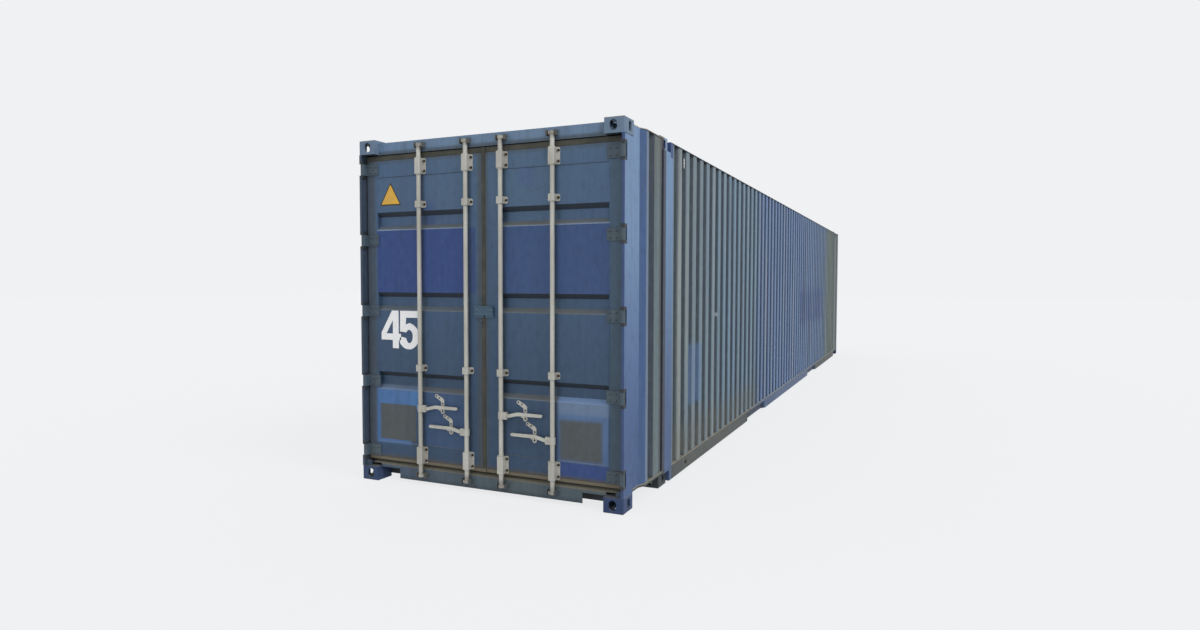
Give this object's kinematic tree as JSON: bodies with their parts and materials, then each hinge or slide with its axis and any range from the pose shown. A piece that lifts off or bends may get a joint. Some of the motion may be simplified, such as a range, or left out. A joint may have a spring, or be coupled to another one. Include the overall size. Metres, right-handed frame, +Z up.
{
  "type": "shipping container",
  "caption": "Long closed steel freight container with corrugated walls, two hinged end doors that swing round to the sides, and turning locking bars with handles.",
  "frame": {"origin": "bottom centre of the whole box, on the plane of the casting undersides", "axes": "+X along the length from the doors towards the closed front wall, +Y towards the left side as seen when facing the doors, +Z up"},
  "size_m": [13.716, 2.5, 2.896],
  "materials": {
    "blue_paint": "weathered satin",
    "frame_paint": "weathered satin",
    "casting_paint": "worn satin",
    "door_paint": "dirty satin",
    "galvanised": "dull galvanised",
    "seal_rubber": "dusty matte",
    "deck_plywood": "worn"
  },
  "bodies": {
    "root": {"roof": "blue_paint", "side_vents": "blue_paint", "side_wall_left": "blue_paint", "end_bay_panels_left": "blue_paint", "side_wall_right": "blue_paint", "end_bay_panels_right": "blue_paint", "door_header": "frame_paint", "door_sill": "frame_paint", "front_top_rail": "frame_paint", "front_bottom_rail": "frame_paint", "front_wall": "frame_paint", "cross_members": "frame_paint", "end_stringers": "frame_paint", "gooseneck_tunnel": "frame_paint", "door_post_left": "frame_paint", "front_post_left": "frame_paint", "forty_foot_posts_left": "frame_paint", "bottom_side_rail_left": "frame_paint", "top_side_rail_left": "frame_paint", "end_bay_rails_left": "frame_paint", "hinge_lugs_left": "frame_paint", "door_post_right": "frame_paint", "front_post_right": "frame_paint", "forty_foot_posts_right": "frame_paint", "bottom_side_rail_right": "frame_paint", "top_side_rail_right": "frame_paint", "end_bay_rails_right": "frame_paint", "hinge_lugs_right": "frame_paint", "door_castings_left": "casting_paint", "front_castings_left": "casting_paint", "forty_foot_castings_left": "casting_paint", "door_castings_right": "casting_paint", "front_castings_right": "casting_paint", "forty_foot_castings_right": "casting_paint", "cam_keepers": "galvanised", "floor": "deck_plywood"},
    "left_door": {"door_frame_left": "door_paint", "door_panel_left": "door_paint", "door_gasket_left": "seal_rubber", "hinge_blades_left": "door_paint", "bar_brackets_left": "galvanised", "handle_retainers_left": "galvanised", "centre_bracket_left": "door_paint"},
    "right_door": {"door_frame_right": "door_paint", "door_panel_right": "door_paint", "door_gasket_right": "seal_rubber", "hinge_blades_right": "door_paint", "bar_brackets_right": "galvanised", "handle_retainers_right": "galvanised", "centre_bracket_right": "door_paint"},
    "bar_a": {"locking_bar_a": "galvanised"},
    "lever_a": {"handle_a": "galvanised"},
    "bar_b": {"locking_bar_b": "galvanised"},
    "lever_b": {"handle_b": "galvanised"},
    "bar_c": {"locking_bar_c": "galvanised"},
    "lever_c": {"handle_c": "galvanised"},
    "bar_d": {"locking_bar_d": "galvanised"},
    "lever_d": {"handle_d": "galvanised"}
  },
  "joints": [
    {"name": "left_door_hinge", "type": "hinge", "parent": "root", "child": "left_door", "pos_m": [-6.836, 1.199, 1.45], "axis": [0, 0, -1], "range_deg": [0, 260]},
    {"name": "right_door_hinge", "type": "hinge", "parent": "root", "child": "right_door", "pos_m": [-6.836, -1.199, 1.45], "axis": [0, 0, 1], "range_deg": [0, 260]},
    {"name": "bar_a_turn", "type": "hinge", "parent": "left_door", "child": "bar_a", "pos_m": [-6.832, 0.62, 0.652], "axis": [0, 0, 1], "range_deg": [-95, 0]},
    {"name": "handle_a_lift", "type": "hinge", "parent": "bar_a", "child": "lever_a", "pos_m": [-6.832, 0.576, 0.652], "axis": [1, 0, 0], "range_deg": [-25, 0]},
    {"name": "bar_b_turn", "type": "hinge", "parent": "left_door", "child": "bar_b", "pos_m": [-6.832, 0.162, 0.489], "axis": [0, 0, -1], "range_deg": [-95, 0]},
    {"name": "handle_b_lift", "type": "hinge", "parent": "bar_b", "child": "lever_b", "pos_m": [-6.832, 0.206, 0.489], "axis": [-1, 0, 0], "range_deg": [-25, 0]},
    {"name": "bar_c_turn", "type": "hinge", "parent": "right_door", "child": "bar_c", "pos_m": [-6.832, -0.162, 0.652], "axis": [0, 0, 1], "range_deg": [-95, 0]},
    {"name": "handle_c_lift", "type": "hinge", "parent": "bar_c", "child": "lever_c", "pos_m": [-6.832, -0.206, 0.652], "axis": [1, 0, 0], "range_deg": [-25, 0]},
    {"name": "bar_d_turn", "type": "hinge", "parent": "right_door", "child": "bar_d", "pos_m": [-6.832, -0.62, 0.489], "axis": [0, 0, -1], "range_deg": [-95, 0]},
    {"name": "handle_d_lift", "type": "hinge", "parent": "bar_d", "child": "lever_d", "pos_m": [-6.832, -0.576, 0.489], "axis": [-1, 0, 0], "range_deg": [-25, 0]}
  ]
}
